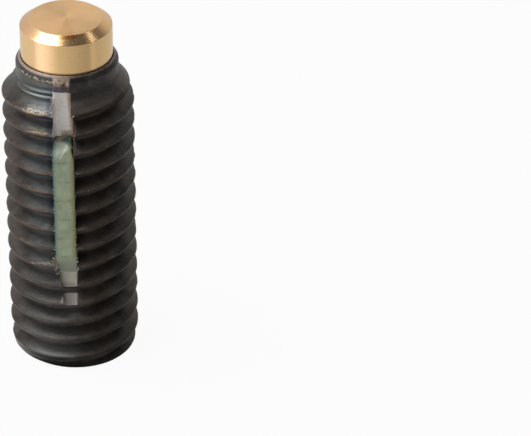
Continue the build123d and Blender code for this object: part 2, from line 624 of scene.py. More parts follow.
oxideSettings = {
    "dark": tone(62, 59, 57),
    "light": tone(94, 89, 85),
    "worn": tone(136, 120, 106),
    "rust": tone(140, 106, 80),
    "cream": tone(198, 176, 146),
    "paintedSheen": tone(132, 130, 136),
    "paintedBaseHighlight": tone(113, 116, 113),
    "stain": tone(136, 116, 76),
    "smear": tone(140, 124, 122),
    "smearTop": tone(196, 176, 156),
    "brown": tone(96, 70, 44),
    "crestBrown": tone(84, 68, 60),
    "redBrown": tone(92, 64, 62),
    "flank": tone(116, 120, 118),
    "moss": tone(150, 158, 130),
    "lineHighlight": tone(176, 182, 182),
    "warm": tone(255, 236, 228),
    "contactShadow": tone(30, 27, 26),
    "teal": tone(74, 92, 94),
    "tealShade": tone(34, 58, 60),
    "deepBlue": tone(46, 50, 68),
    "neck": tone(104, 110, 105),
    "lip": tone(172, 152, 142),
    "bare": tone(228, 223, 219),
    "paintedLeftWallLight": tone(250, 246, 244),
    "bareEdge": tone(184, 158, 142),
    "bareLow": tone(172, 172, 157),
    "bandLeftTone": tone(100, 96, 110),
    "bandRightTone": tone(82, 76, 84),
    "chipped": tone(158, 151, 146),
    "metallic": 0.72,
    "roughness": (0.34, 0.44),
    "wornRoughness": 0.32,
    "wornShare": 0.6,
    "milledRoughness": 0.42,
    "bareMetallic": 0.9,
    "relief": 0.007,
    # how far the noises move an edge, in mm or turns, and where the neck's lines cross its foot
    "unevenEdge": 0.06,
    "wander": 0.05,
    "coilFrom": 36,
}

# Layers from the lowest up. Heights, "across" and distances are in mm, bearings in degrees from the
# front, rightwards, and "side" is the share of a pitch above a crest's middle.
oxideLayers = [
    layer("dark", 0.35, mode="MULTIPLY", fine=()),
    layer("teal", coarse=("mix", 0.15, 0.5), bearing=(-34, -6, 10), side=(0.08, 0.40, 0.06),
          thread=(), height=(3.5, 7)),
    layer("deepBlue", 0.6, bearing=(-34, -6, 10), fromCrest=(0.33, 0.44), thread=(),
          height=(4, 7)),
    # a painted highlight on the upper flanks left of the groove, weaker on the top turn
    layer("flank", topTurn=("mix", 0.78, 0.28), wander=(0.19, 0.40, 0.07), thread=(),
          bearing=(-40, -2, 16), height=(3, 6)),
    # a painted sheen on the right of the lead cone
    layer("light", 0.3, aboveNeck=(-0.5, 0.1, 0.1), bearing=(12, 110, 14)),
    # the neck and the crimped bevel, painted paler to the left of the groove, where the light falls
    layer("neck", coarse=("mix", 0.4, 0.9), aboveNeck=(-0.35, 0), bearing=(-95, -4, 14)),
    # a faint painted sheen on the lead cone
    layer("paintedSheen", 0.06, aboveNeck=(-0.45, -0.02, 0.06), bearing=(-70, -8, 12)),
    # pale and dark lines on the neck that climb with the thread: painted highlights and painted shade
    layer("deepBlue", 0.6, lineSide=(), coil=(0.28, 0.40, 0.025)),
    layer("lineHighlight", 0.8, lineSide=(), coil=(0.11, 0.23, 0.025)),
    layer("tealShade", lineSide=(), coil=(-0.02, 0.08, 0.025)),
    layer("lineHighlight", 0.75, lineSide=(), coil=(-0.12, -0.04, 0.025)),
    # the worn lip, paler on the left where the light falls: partly painted light
    layer("lip", aboveRim=(-0.115, -0.075), rightward=("mix", 1, 0.4), broken=("scratch", 0.35, 0.5)),
    layer("dark", 0.55, aboveRim=(-0.24, -0.10, 0.02), bearing=(-100, -8, 10)),
    # a painted brown shadow under the flecks below the crimp
    layer("brown", 0.9, aboveRim=(-0.36, -0.28, 0.03), bearing=(-46, -6, 8), fine=()),
    # wear along the crests, and to the left of the groove a brown band on them that is partly painted
    # shade
    layer("worn", coarse=("mix", 0.35, 1), crests=(), nearGroove=("mix", 0.3, 0.55),
          leftward=("mix", 1, 0.3)),
    layer("crestBrown", fine=("mix", 0.95, 0.45), wander=(-0.14, 0.08, 0.035), thread=(),
          bearing=(-80, -5, 12), height=(3.8, 5.6)),
    # beside the groove the upper crests carry a rusty line and cream scale on it, and on the top turn a
    # pale and a lilac painted highlight above
    *(layer(shade, share, thread=(), bearing=(reach, -5, 9), ragSide=(low, high, 0.025),
            height=heights, broken=(breaking, 0.8, 0.5))
      for shade, low, high, heights, reach, breaking, share in (
          ("rust", -0.02, 0.06, (7, 9.5), -36, "speckCoarse", 0.6),
          ("moss", 0.12, 0.22, (11.9, 12.1), -36, "speckFine", 0.3),
          ("cream", 0.03, 0.10, (12.1, 12.5), -36, "speckFine", 0.4),
          ("cream", 0.02, 0.07, (12.9, 13.2), -66, "speckFine", 0.22),
          ("cream", 0.03, 0.11, (12.9, 13.2), -40, "fine", 0.5),
          ("bare", 0.11, 0.17, (12.9, 13.2), -36, "fine", 0.3),
          ("paintedSheen", 0.19, 0.28, (12.9, 13.2), -36, "fine", 0.55))),
    # painted shade beside the groove and the strip, teal turning to blue higher up
    layer("beside", 0.6, across=(-0.74, -0.47, 0.11), thread=(), height=(5.6, 7)),
    # the drive end: painted highlights on the lower flanks and in a band, over a painted shade along the
    # edge
    layer("paintedBaseHighlight", 0.3, side=(0.05, 0.36, 0.07), thread=(), bearing=(-50, 16, 18),
          height=(5.5, 2.5)),
    layer("paintedBaseHighlight", 0.8, side=(0.05, 0.36, 0.06), bearing=(-38, 10, 15),
          height=(1.35, 1.1)),
    layer("dark", footFront=("mix", 0.88, 0.08), mode="MULTIPLY", footEdge=()),
    # on the right: greyer flanks, painted light, and darker crests, painted shade
    layer("worn", 0.11, rightSide=(), thread=()),
    layer("worn", fine=("mix", 0.1, 0.3), ragSide=(0.05, 0.17, 0.05), thread=(),
          bearing=(12, 46, 10)),
    layer("dark", 0.6, mode="MULTIPLY", side=(-0.16, 0.035, 0.035), thread=(),
          bearing=(12, 76, 12)),
    # specks along every crest, and metal dragged leftwards where the cutter clipped the last crest
    layer("worn", 0.4, ragSide=(0, 0.07, 0.03), thread=(), specks=(), height=(4.2, 5.4)),
    layer("chipped", fine=("mix", 0.1, 0.8), height=(3.1, 4.1, 0.1),
          across=(-0.34, 0, 0.06), ragSide=(0.05, 0.27, 0.04)),
    layer("redBrown", 0.6, height=(3.1, 4.1, 0.1), across=(-0.85, 0.45, 0.12),
          ragSide=(-0.03, 0.04, 0.03)),
    # browner on the far left
    layer("warm", 0.5, mode="MULTIPLY", bearing=(-120, -48, 14)),
]

# bare metal in the groove
bareLayers = [
    # painted light: the left wall and its corner as pale as the floor
    layer("paintedLeftWallLight", offLeftWall=(0.2125, 0.0525)),
    layer("bareEdge", offRightWall=(0.24, 0.08)),
    layer("worn", 0.3, scratch=()),
    layer("bareLow", 0.85, height=(5.9, 5.4)),
    layer("chipped", height=(4.6, 4.4)),
    layer("stain", fine=("mix", 0.5, 1), aboveStrip=(-0.2, 0.3, 0.08),
          across=(-0.12, 0.34, 0.12)),
]

# what lies over the groove: the bare metal, a darker band above it, the metal smeared over the rim, and
# the bore's mouth with a painted shadow where it meets the tip
grooveLayers = [
    layer("milled", milled=(), ragRim=(-0.74, -0.77)),
    layer("bandAboveBare", fine=("mix", 1, 0.65), milled=(), ragRim=(-0.78, -0.72, -0.56, -0.40)),
    layer("smeared", drawn=("mix", 0.55, 1), ragRim=(-0.54, -0.42), aboveRim=(-0.05, -0.12),
          outward=(1.9, 2), across=(-0.44, 0.30, 0.05)),
    layer("brown", 0.9, outward=(1.9, 2), ragRim=(-0.62, -0.23, 0.06),
          across=(-0.06, 0.12, 0.05)),
    # painted shadow in the bore's mouth where it meets the tip
    layer("contactShadow", offTip=(0.026, 0.018), aboveRim=(-3, -2.9)),
]


# masks that several layers or the roughness share
oxideMasks = {
    "thread": dict(height=(0.15, 0.4), aboveNeck=(0.02, -0.12), radius=(2.2, 2.35)),
    "milled": dict(offLeftWall=(-0.006, -0.002), offRightWall=(-0.006, -0.002),
                   aboveFloor=(-0.03, -0.01), pastDisc=(0.015, 0.006)),
    "crestTop": dict(fromCrest=(0.12, 0.03), thread=(), height=(1.2, 3.2)),
    "topTurn": dict(height=(12.9, 13.3)),
    "lineReach": dict(bearing=(-66, -9, 8)),
    "lineSide": dict(lineReach=(), bearing=(-70, -18), coarse=("mix", 0.7, 1)),
    "nearGroove": dict(aside=(40, 12)),
    "leftward": dict(bearing=(-80, -5, 12)),
    "rightward": dict(bearing=(6, 150, 14)),
    "footFront": dict(bearing=(9, 150, 21)),
    "footRim": dict(side=(0.06, -0.03), height=(1.15, 1)),
    "foot": dict(height=(0.42, 0.18)),
    "rightGap": dict(bearing=(48, 66, 8)),
    "rightSide": dict(rightGap=("mix", 1, 0), bearing=(16, 140, 10)),
}


def oxideFields(position, s, thread, groove):
    # everything that the layers are placed by
    spot = threadSpot(position, thread)
    across, outward, height = spot["Across"], spot["Outward"], spot["Height"]
    bearing, side = spot["Bearing"], spot["Side"]
    fine, coarse = grainOf(position, 0.10, 0.75)
    speckFine, speckCoarse = grainOf(position, 0.22, 0.4)
    aboveRim = height - rimHeight / mm
    aboveNeck = aboveRim + (thread["crimpHeight"] + thread["neckHeight"])
    uneven = (coarse - 0.5) * s["unevenEdge"]
    down = calc("POWER", calc("MINIMUM", aboveRim + groove["length"], 0), 2)
    discAway = calc("POWER", outward - (groove["floor"] + groove["cutterRadius"]), 2)
    fields = {
        "across": across,
        "outward": outward,
        "aboveFloor": outward - groove["floor"],
        "height": height,
        "aboveRim": aboveRim,
        "aboveNeck": aboveNeck,
        "radius": spot["Radius"],
        "offTip": spot["Radius"] - tipRadius / mm,
        "bearing": bearing,
        "aside": calc("ABSOLUTE", bearing),
        "side": side,
        "fromCrest": spot["From Crest"],
        "offLeftWall": across - standInNodes(height, groove["leftIn"]) + groove["width"] / 2,
        "offRightWall": groove["width"] / 2 - (across + standInNodes(height, groove["rightIn"])),
        "pastDisc": calc("SQRT", discAway + down) - groove["cutterRadius"],
        "fine": fine,
        "coarse": coarse,
        "speckFine": speckFine,
        "speckCoarse": speckCoarse,
        "scratch": grainOf(position, 0.16, 0.5, stretch=(1, 1, 6))[0],
        "drawn": grainOf(position, 0.10, 0.3, stretch=(1, 1, 0.12))[0],
        "wander": side + (coarse - 0.5) * s["wander"],
        "ragSide": side + (speckFine - 0.5) * s["unevenEdge"],
        "ragRim": aboveRim + uneven,
        "aboveStrip": height + uneven - stripHigh.z / mm,
        "coil": aboveNeck - (bearing + s["coilFrom"]) * (thread["pitch"] / 360),
    }
    for name, limits in oxideMasks.items():
        fields[name] = softMask(fields, limits)
    fields["crests"] = wearOf(fields["crestTop"], fine, 0.75, 0.7)
    fields["footEdge"] = calc("MAXIMUM", fields["footRim"], fields["foot"])
    fields["specks"] = wearOf(speckCoarse, 0.62, 1.0, 0.3)
    return fields


def makeOxide(s, thread, groove):
    material, inputs, position = newMaterial("blackenedSteel")
    fields = oxideFields(position, s, thread, groove)
    fine, coarse, across = fields["fine"], fields["coarse"], fields["across"]
    shades = dict(s)
    shades["beside"] = blendColour(rise(fields["height"], 11.4, 12.4), s["tealShade"], s["deepBlue"])
    shades["milled"] = paintLayers(s["bare"], s, fields, bareLayers)
    shades["bandAboveBare"] = blendColour(rise(across, -0.2, 0.2), s["bandLeftTone"], s["bandRightTone"])
    shades["smeared"] = blendColour(rise(fields["ragRim"], -0.48, -0.28), s["smear"], s["smearTop"])
    # the oxide itself is mottled
    colour = blendColour(coarse, s["dark"], s["light"])
    colour = paintLayers(colour, shades, fields, oxideLayers + grooveLayers)
    plug(inputs["Base Color"], colour)

    roughness = blendValue(coarse, *s["roughness"])
    roughness = blendValue(fields["crests"] * s["wornShare"], roughness, s["wornRoughness"])
    milled = fields["milled"]
    plug(inputs["Roughness"], blendValue(milled, roughness, s["milledRoughness"]))
    bareMetal = blendValue(rise(across, -0.30, -0.42), s["bareMetallic"], 0.0)
    plug(inputs["Metallic"], blendValue(milled, s["metallic"], bareMetal))
    rolled = grainOf(position, 0.05, 0.12, stretch=(1, 1, 3.5))[0]
    plug(inputs["Normal"], bumpOf(rolled * 0.5 + fine * 0.5, s["relief"]))
    return material


# Brass tip

tipSettings = {
    "segments": 176,
    "seatChamfer": 0.20,
    "faceChamferWidth": 0.427,
    "faceChamferHeight": 0.315,
    "edgeRadius": 0.022,
    "innerRow": 0.45,
    "colour": tone(248, 206, 152),
    "shade": tone(240, 192, 138),
    "tarnish": tone(150, 108, 66),
    "contactShadow": tone(96, 60, 40),
    "pits": tone(255, 236, 206),
    "side": tone(247, 207, 150),
    "shine": tone(247, 206, 160),
    "bevelLeftShade": tone(228, 183, 142),
    "heated": tone(214, 132, 60),
    "sideRoughness": 0.17,
    "chamferRoughness": 0.20,
    "faceRoughness": 0.36,
    "pitRoughness": 0.7,
    "roughnessSpread": 0.05,
    "brushed": 0.45,
    "relief": 0.0016,
}

# heights above the face and the rim are in mm, bearings in degrees from the front, rightwards
tipLayers = [
    layer("shade", 0.6, coarse=()),
    # on the side, a paler painted highlight from 42 to 14 degrees left of the front
    layer("sideWithHighlight", onSide=()),
    # painted shade on the left of the chamfer
    layer("bevelLeftShade", 0.9, bevelled=(), bearing=(-150, -48, 10)),
    layer("heated", coarse=("mix", 0.4, 0.9), aboveFace=(-0.12, -0.005, 0.02),
          bearing=(-6, 20, 6)),
    layer("tarnish", 0.07, turned=()),
    layer("tarnish", 0.4, specks=()),
    # a painted contact shadow on the brass just above the rim
    layer("contactShadow", 0.85, aboveRim=(0.14, 0.02)),
    layer("pits", 0.8, pits=()),
]


def roundedRows(corners, steps=3):
    # profile rows through (radius, height, edge radius) corners, with a row each side of every bend
    rows = []
    for i, (radius, height, bend) in enumerate(corners):
        here = Vector((radius, height))
        if bend == 0:
            rows.append(here)
            continue
        back = (Vector(corners[i - 1][:2]) - here).normalized()
        ahead = (Vector(corners[i + 1][:2]) - here).normalized()
        half = back.angle(ahead) / 2
        reach = bend / math.tan(half)
        centre = here + (back + ahead).normalized() * bend / math.sin(half)
        start, end = here + back * reach, here + ahead * reach
        rows.append(here + back * (reach + bend))
        rows += [centre + (start.lerp(end, k / steps) - centre).normalized() * bend
                 for k in range(steps + 1)]
        rows.append(here + ahead * (reach + bend))
    return [(row.x, row.y, plainRow) for row in rows]


def makeTip(s, material):
    low, top, radius, bend = boreFloor / mm, faceHeight / mm, tipRadius / mm, s["edgeRadius"]
    rows = roundedRows([
        (0, low, 0),
        (radius - s["seatChamfer"], low, bend),
        (radius, low + s["seatChamfer"], bend),
        (radius, top - s["faceChamferHeight"], bend),
        (radius - s["faceChamferWidth"], top, bend),
        (radius * s["innerRow"], top, 0),
        (0, top, 0),
    ])
    return runTree(rowPoints(rows), spinTree, {"Segments": s["segments"], "Material": material},
                   "pressureTip")


def makeBrass(s):
    material, inputs, position = newMaterial("turnedBrass")
    tree = material.node_tree
    spot = threadSpot(position, bodySettings)
    bearing, aboveFace = spot["Bearing"], spot["Height"] - faceHeight / mm
    fine, coarse = grainOf(position, 0.09, 0.9)
    rings = place(tree, "ShaderNodeCombineXYZ", {"X": spot["Radius"] * mm, "Z": spot["Height"] * mm})
    turned = grainOf(Wire(rings.outputs[0]), 0.035, 0.3)[0]
    onTop = rise(aboveFace, -0.02, -0.005)
    onSide = rise(aboveFace, 0.02 - s["faceChamferHeight"], -0.02 - s["faceChamferHeight"])
    bevelled = (1 - onSide) * (1 - onTop)
    speckle = grainOf(position, 0.07, 0.2)[0]
    pits = rise(product(speckle, bevelled, between(bearing, -10, 24, 4)), 0.90, 0.99)
    fields = {"bearing": bearing, "aboveFace": aboveFace, "coarse": coarse, "turned": turned,
              "aboveRim": spot["Height"] - rimHeight / mm, "onSide": onSide, "bevelled": bevelled,
              "specks": wearOf(fine, 0.9, 1.0, 0.12), "pits": pits}
    shades = dict(s, sideWithHighlight=blendColour(between(bearing, -42, -14, 9), s["side"], s["shine"]))
    plug(inputs["Base Color"], paintLayers(s["colour"], shades, fields, tipLayers))
    inputs["Metallic"].default_value = 1
    roughness = blendValue(onSide, s["chamferRoughness"], s["sideRoughness"])
    roughness = blendValue(onTop, roughness, s["faceRoughness"])
    roughness = blendValue(pits, roughness, s["pitRoughness"])
    plug(inputs["Roughness"], roughness + coarse * s["roughnessSpread"])
    inputs["Anisotropic"].default_value = s["brushed"]
    inputs["Anisotropic Rotation"].default_value = 0.25
    tangent = place(tree, "ShaderNodeTangent", direction_type="RADIAL", axis="Z")
    plug(inputs["Tangent"], tangent.outputs[0])
    plug(inputs["Normal"], bumpOf(turned * 0.6 + fine * 0.4, s["relief"]))
    return material


# Plastic locking strip, pressed into the groove and scraped off at both ends

stripSettings = {
    "halfWidth": 0.4445,
    "clearance": 0.008,
    "corner": 0.152,
    "floor": 2.2696,
    "front": 3.068,
    "lowerSlope": 1.20,
    # the upper end is scraped off slantwise: its slope starts higher on the right, by the skew
    "upperSlope": 0.63,
    "facetSkew": 0.50,
    "facetCurve": 0.9,
    # how far the right side draws in near the upper end, from and to these depths below it
    "upperTaper": 0.11,
    "taperFrom": 0.95,
    "taperTo": 0.15,
    # the swollen edges of the front
    "bulge": 0.028,
    "bulgeFrom": 2.965,
    "bulgeOver": 0.05,
    "edgeDrop": 0.012,
    # lines pressed across by the crests, as depth, place within a turn and half width
    "lineDepth": 0.012,
    "lineOffset": 0.332,
    "lineWidth": 0.035,
    "waveDepth": 0.010,
    "chipDepth": 0.006,
    "thinnest": 0.012,
    "rows": 150,
    "columns": [-1, -0.82, -0.55, -0.25, 0.1, 0.4, 0.7, 0.88, 1],
    "green": tone(172, 184, 150),
    "blueGreen": tone(122, 144, 139),
    "yellowGreen": tone(143, 137, 82),
    "pale": tone(156, 161, 141),
    "shade": tone(84, 98, 84),
    "scuffsAndGlare": tone(226, 230, 218),
    "litFacet": tone(178, 188, 176),
    "tealShade": tone(52, 84, 76),
    "scrap": tone(150, 138, 112),
    "roughness": (0.42, 0.60),
    "subsurface": 0.12,
    "subsurfaceScale": 0.0002,
    "relief": 0.006,
}

# "across" and "slant" are in mm rightwards, the heights in mm above the strip's two ends
stripLayers = [
    layer("shade", 0.35, coarse=()),
    # painted shade in blue-green along the left edge
    layer("blueGreen", 0.85, across=(-0.28, -0.44)),
    layer("yellowGreen", 0.8, across=(0.22, 0.42)),
    # painted shade along both edges of the front
    layer("shade", 0.6, aside=(0.40, 0.465)),
    # lines pressed across by the crests, and scuffs along them
    layer("shade", coarse=("mix", 0.15, 0.5), phase=(0.045, 0.008)),
    layer("scuffsAndGlare", 0.4, scuffed=()),
    layer("pale", aboveFoot=(1.45, 0.9), broken=("fine", 0.3, 0.7)),
    # the slanting upper end, painted lighter where it faces up to the light, with a painted glare along
    # its edge
    layer("litFacet", coarse=("mix", 0.6, 1), aboveTop=(-0.74, -0.62), slant=(0.08, 0.04),
          across=(-0.36, -0.28)),
    layer("scuffsAndGlare", coarse=("mix", 0.45, 0.95), aboveTop=(-0.74, -0.62, -0.16, -0.10),
          bent=(-0.05, 0.05, 0.05)),
    # painted shade at the top end, where it dips into the groove
    layer("tealShade", 0.95, aboveTop=(-0.17, -0.07)),
    # the scraped edge of its foot is stained brown and runs unevenly across the groove
    layer("scrap", uneven=(0.01, 0.06), across=(-0.32, 0.08, 0.08)),
]


def stripFloor(s, groove, z):
    # the groove's flat floor, and below its end the curve of the disc
    end = rimHeight / mm - groove["length"]
    if z >= end:
        return s["floor"]
    reach = groove["cutterRadius"] - s["clearance"]
    return groove["floor"] + groove["cutterRadius"] - math.sqrt(reach ** 2 - (end - z) ** 2)


def stripFront(s, z, across, floorY, line):
    # how far the front lies from the axis, at one of the columns
    low, high = stripLow.z / mm, stripHigh.z / mm
    start = high - s["upperSlope"] + s["facetSkew"] * (across + 1) / 2
    full = min(1, (z - low) / s["lowerSlope"],
               max(0.0, (high - z) / (high - start)) ** s["facetCurve"])
    wave = noise.noise(Vector((across * 1.3, 0.0, z * 1.1))) * s["waveDepth"]
    chip = noise.noise(Vector((across * 3.0, 4.0, z * 4.0))) * s["chipDepth"]
    depth = max(s["thinnest"], s["front"] - floorY)
    out = floorY + s["thinnest"] + (depth - s["thinnest"]) * full
    out -= (line * s["lineDepth"] + max(0, wave + chip)) * min(1, full * 3) * 0.9
    return out - (s["edgeDrop"] if abs(across) == 1 else 0.0) * full


def stripWall(x, inwards, floorY, frontY, corner, s):
    # one side of a section, from the front down to the floor, round its corner
    shoulder = min(s["bulgeFrom"], frontY - 0.01)
    return [(x, shoulder), (x, (floorY + shoulder) / 2), (x, floorY + corner),
            (x + inwards * corner * 0.3, floorY + corner * 0.3), (x + inwards * corner, floorY)]


def makeStripMesh(s, thread, groove):
    # cross sections up the strip: a floor with round corners, straight sides and a swollen front
    low, high = stripLow.z / mm, stripHigh.z / mm
    rings = []
    for i in range(s["rows"] + 1):
        z = low + (high - low) * i / s["rows"]
        floorY = stripFloor(s, groove, z)
        turns = (z - thread["crestHeight"]) / thread["pitch"] + 0.25 + s["lineOffset"]
        line = max(0, 1 - abs((turns + 0.5) % 1 - 0.5) / s["lineWidth"])
        left = standIn(z, groove["leftIn"]) - s["halfWidth"]
        right = s["halfWidth"] - s["upperTaper"] * portion(z - high, -s["taperFrom"], -s["taperTo"])
        front = []
        for across in s["columns"]:
            out = stripFront(s, z, across, floorY, line)
            swell = s["bulge"] * portion(out, s["bulgeFrom"], s["bulgeFrom"] + s["bulgeOver"])
            swell *= 0.75 + 0.5 * noise.noise(Vector((across, 9.0, z * 2.2)))
            x = left + (right - left) * (across + 1) / 2
            x += swell * (across if abs(across) == 1 else 0)
            front.append((x, max(out, floorY + s["thinnest"] / 2)))
        shoulder = min(s["bulgeFrom"], front[-1][1] - 0.01)
        corner = min(s["corner"], (shoulder - floorY) * 0.5, (right - left) * 0.3)
        walls = stripWall(right, -1, floorY, front[-1][1], corner, s)
        walls += stripWall(left, 1, floorY, front[0][1], corner, s)[::-1]
        rings.append([(x, -out, z) for x, out in front] + [(x, -max(y, floorY), z) for x, y in walls])
    return skin("lockingStrip", rings, 32)


def makePlastic(s):
    material, inputs, position = newMaterial("palePlastic")
    spot = threadSpot(position, bodySettings)
    fine, coarse = grainOf(position, 0.08, 0.45)
    scuffs = grainOf(position, 0.10, 0.3, stretch=(5, 1, 1))[0]
    across = spot["Across"]
    aboveTop = spot["Height"] - stripHigh.z / mm
    slant = across - (aboveTop + 0.42) * 0.57
    arch = aboveTop + calc("ABSOLUTE", across - 0.12) * 0.32
    fields = {
        "across": across,
        "aside": calc("ABSOLUTE", across),
        "aboveTop": aboveTop,
        "aboveFoot": spot["Height"] - stripLow.z / mm,
        "fine": fine,
        "coarse": coarse,
        "scuffed": wearOf(scuffs, 0.78, 1.0, 0.2),
        "phase": calc("ABSOLUTE", calc("FRACT", spot["Side"] + (1.5 + s["lineOffset"])) - 0.5),
        "slant": slant,
        "bent": slant + (coarse - 0.5) * 0.10,
        "uneven": arch + coarse * 0.10,
    }
    plug(inputs["Base Color"], paintLayers(s["green"], s, fields, stripLayers))
    plug(inputs["Roughness"], blendValue(fine, *s["roughness"]))
    inputs["Subsurface Weight"].default_value = s["subsurface"]
    inputs["Subsurface Scale"].default_value = s["subsurfaceScale"]
    plug(inputs["Normal"], bumpOf(fine * 0.5 + scuffs * 0.5, s["relief"]))
    return material


def makeFlecks(name, dark, light, metallic):
    material, inputs, position = newMaterial(name)
    fine, coarse = grainOf(position, 0.03, 0.15)
    plug(inputs["Base Color"], blendColour(coarse, dark, light))
    plug(inputs["Roughness"], blendValue(fine, 0.4, 0.65))
    inputs["Metallic"].default_value = metallic
    return material


# Burrs, plastic flakes and flecks: small lumps scattered along a line

def buildScatterTree():
    tree, given, result = newTree("scatterLumps", "GeometryNodeTree", [
        ("Line", "Geometry", None), ("Count", "Int", 20), ("Size", "Float", 0.00003),
        ("Stretch", "Vector", None), ("Scatter", "Vector", None), ("Seed", "Int", 1),
        ("Material", "Material", None)], [("Mesh", "Geometry")])
    curve = place(tree, "GeometryNodeMeshToCurve", {"Mesh": given["Line"]})
    spaced = place(tree, "GeometryNodeResampleCurve",
                   {"Curve": curve.outputs[0], "Count": given["Count"]})

    def drawn(kind, low, high, seedStep):
        # the node's sockets for the low and high end and the result depend on the kind
        lowest, highest, output = {"FLOAT_VECTOR": (0, 1, 0), "FLOAT": (2, 3, 1)}[kind]
        node = place(tree, "FunctionNodeRandomValue", {
            lowest: low, highest: high, "Seed": given["Seed"] + seedStep}, data_type=kind)
        return node.outputs[output]

    shift = place(tree, "ShaderNodeVectorMath", {
        0: drawn("FLOAT_VECTOR", (-1, -1, -1), (1, 1, 1), 0), 1: given["Scatter"]},
        operation="MULTIPLY").outputs[0]
    moved = place(tree, "GeometryNodeSetPosition", {"Geometry": spaced.outputs[0], "Offset": shift})
    points = place(tree, "GeometryNodeCurveToPoints", {"Curve": moved.outputs[0]}, mode="EVALUATED")
    lump = place(tree, "GeometryNodeMeshIcoSphere", {"Radius": given["Size"], "Subdivisions": 1})
    spin = drawn("FLOAT_VECTOR", (-0.7, -0.7, -3.1), (0.7, 0.7, 3.1), 1)
    grow = place(tree, "ShaderNodeVectorMath", {
        "Scale": drawn("FLOAT", 0.35, 1.0, 2), 0: given["Stretch"]}, operation="SCALE").outputs[0]
    lumps = place(tree, "GeometryNodeInstanceOnPoints", {
        "Points": points.outputs[0], "Instance": lump.outputs["Mesh"], "Rotation": spin,
        "Scale": grow})
    return endTree(tree, lumps.outputs[0], given, result)


scatterTree = buildScatterTree()


def scatterAlong(name, lines, material, s):
    # one polyline for each line of (x, y, z) points in mm
    points, edges = [], []
    for line in lines:
        edges += [(len(points) + i, len(points) + i + 1) for i in range(len(line) - 1)]
        points += line
    piece = runTree(meshObject(name + "Line", points, edges=edges), scatterTree, {
        "Count": s["count"], "Size": s["size"] * mm, "Stretch": s["stretch"],
        "Scatter": [part * mm for part in s["scatter"]], "Seed": s["seed"],
        "Material": material}, name)
    finishShading(piece, 30)
    return piece


def report(piece):
    print(piece.name + ":", len(piece.data.polygons), "faces")


blackenedSteel = makeOxide(oxideSettings, bodySettings, grooveSettings)
blank = makeBody(bodySettings, blackenedSteel)
print("blank:", len(blank.data.polygons), "faces")
cutter = grooveCutter(grooveSettings)
threadedBody = runTree(blank, millTree, {"Cutter": cutter, "Material": blackenedSteel},
                       "threadedBody")
bpy.data.objects.remove(cutter)
finishShading(threadedBody, 40)
report(threadedBody)

pressureTip = makeTip(tipSettings, makeBrass(tipSettings))
finishShading(pressureTip, 40)
report(pressureTip)

plastic = makePlastic(stripSettings)
lockingStrip = makeStripMesh(stripSettings, bodySettings, grooveSettings)
lockingStrip.data.materials.append(plastic)
report(lockingStrip)


# one entry for each scattered piece: how many lumps on each of its lines, their size, how they are
# stretched and how far they stray, in mm
lumpSettings = {
    "crestBurrs": {"count": 5, "size": 0.030, "stretch": (1.5, 0.7, 0.9),
                   "scatter": (0.03, 0.008, 0.035), "seed": 3},
    "stripFlakes": {"count": 34, "size": 0.030, "stretch": (0.8, 0.7, 1.8),
                    "scatter": (0.012, 0.015, 0.08), "seed": 11},
    "scrapedEnd": {"count": 14, "size": 0.052, "stretch": (0.9, 0.7, 1.3),
                   "scatter": (0.025, 0.02, 0.07), "seed": 5},
    "scrapings": {"count": 20, "size": 0.090, "stretch": (1.1, 0.6, 0.9),
                  "scatter": (0.06, 0.03, 0.07), "seed": 23},
    "edgeBeads": {"count": 13, "size": 0.034, "stretch": (0.8, 0.8, 1.1),
                  "scatter": (0.02, 0.01, 0.02), "seed": 31},
    "sparseFlecks": {"count": 13, "size": 0.040, "stretch": (1.5, 0.8, 0.7),
                     "scatter": (0.05, 0.015, 0.05), "seed": 8},
    "bevelFlecks": {"count": 30, "size": 0.050, "stretch": (1.4, 0.8, 0.8),
                    "scatter": (0.04, 0.015, 0.05), "seed": 12},
}

# where the lumps lie, in mm and degrees
lumpPlaces = {
    # the crests beside the groove: their turns, and how far the burrs reach along them
    "turns": range(5, 14),
    "edgeBearing": 9.2,
    "burrReach": 0.10,
    "longReach": 0.62,
    "longTurns": (7, 9, 10),
    "sunk": 0.012,
    "belowNeck": 0.3,
    # how far a crest climbs over each mm to the right
    "crestClimb": 0.053,
    # both edges of the strip, from a height above its foot to one below its top
    "flakes": {"x": 0.470, "y": -2.99, "aboveFoot": 1.3, "belowTop": 0.75},
    # bearings of the flecks under the crimp, left and front
    "sparse": range(-58, -30, 4),
    "dense": range(-34, 4, 4),
    "fleckHeight": 0.015,
    # lines of points with their heights from the strip's foot
    "scrapings": [(-0.76, -2.87, 0.93), (-0.62, -2.82, 0.60), (-0.50, -2.70, 0.30),
                  (-0.38, -2.52, 0.02)],
    "footScraps": [(0.475, -2.50, 0.30), (0.475, -3.00, 1.25)],
    "footBeads": [(-0.62, -2.93, 1.12), (-0.50, -2.95, 1.10)],
    # from the strip's top, and from the drive end
    "topScraps": [(0.26, -2.62, -0.24), (0.36, -2.74, -0.30)],
    "rimBeads": [(-0.50, -2.34, 14.22), (-0.51, -2.70, 13.90)],
}

# the burr that the cutter pushed up from the crest where it ran out, leftwards of the groove
burrSettings = {"from": -42, "to": -9.0, "rise": 0.46, "radius": 2.948, "thickness": 0.05,
                "root": 0.05, "least": 0.02, "ragged": 0.16, "wave": 0.03, "growth": 1.8,
                "columns": 36, "rows": 5, "crest": 4}


def crestHeightAt(s, angle):
    return s["crestHeight"] + s["pitch"] * (angle - s["crestAngle"]) / 360


def aroundAxis(radius, bearing, height):
    angle = math.radians(bearing)
    return radius * math.sin(angle), -radius * math.cos(angle), height


